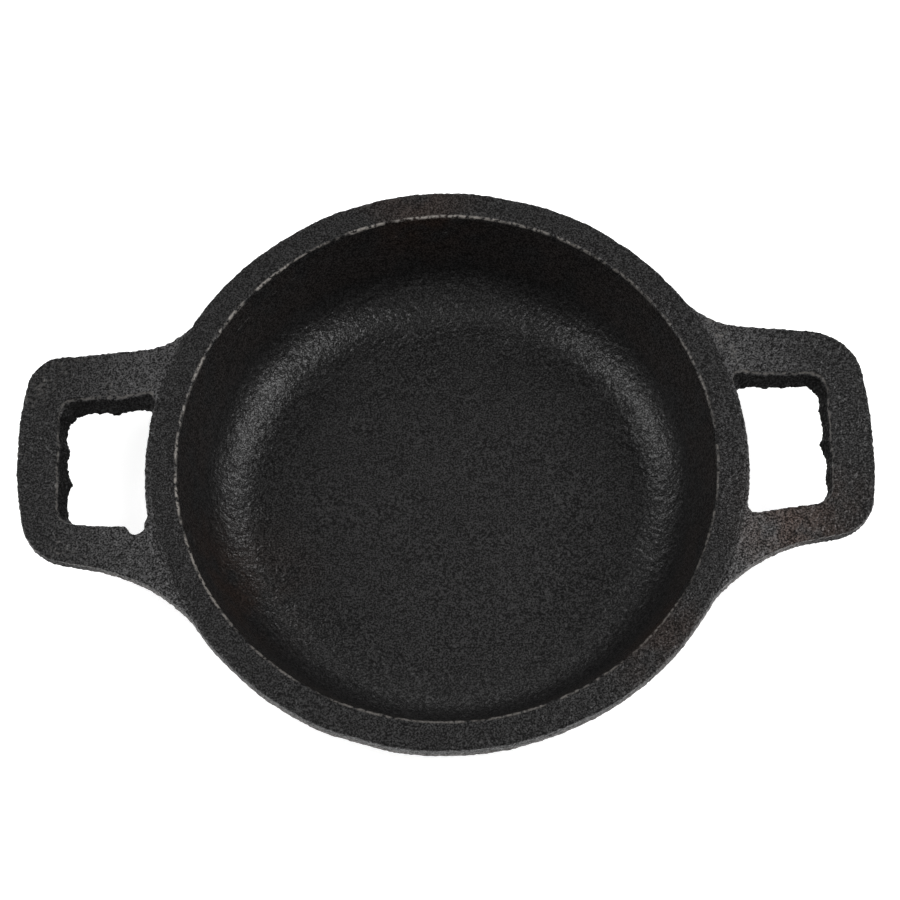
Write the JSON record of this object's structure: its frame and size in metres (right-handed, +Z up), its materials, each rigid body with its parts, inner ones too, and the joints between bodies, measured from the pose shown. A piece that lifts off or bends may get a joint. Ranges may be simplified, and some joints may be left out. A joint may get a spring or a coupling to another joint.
{
  "type": "mini skillet",
  "caption": "Small round seasoned cast iron skillet with a rolled lip, a rounded cove inside and flat loop handles on opposite sides, for single-portion cooking and table service.",
  "frame": {"origin": "middle of the flat base, on the surface that the skillet rests on", "axes": "+X from the axis towards the right handle, +Y towards the back, +Z up out of the bowl"},
  "size_m": [0.1824, 0.127, 0.03],
  "materials": {
    "seasoned_iron": "matt black seasoned sand-cast iron"
  },
  "bodies": {
    "root": {"base_plate": "seasoned_iron", "side_wall": "seasoned_iron", "rim_lip": "seasoned_iron", "left_handle": "seasoned_iron", "right_handle": "seasoned_iron"}
  },
  "joints": []
}
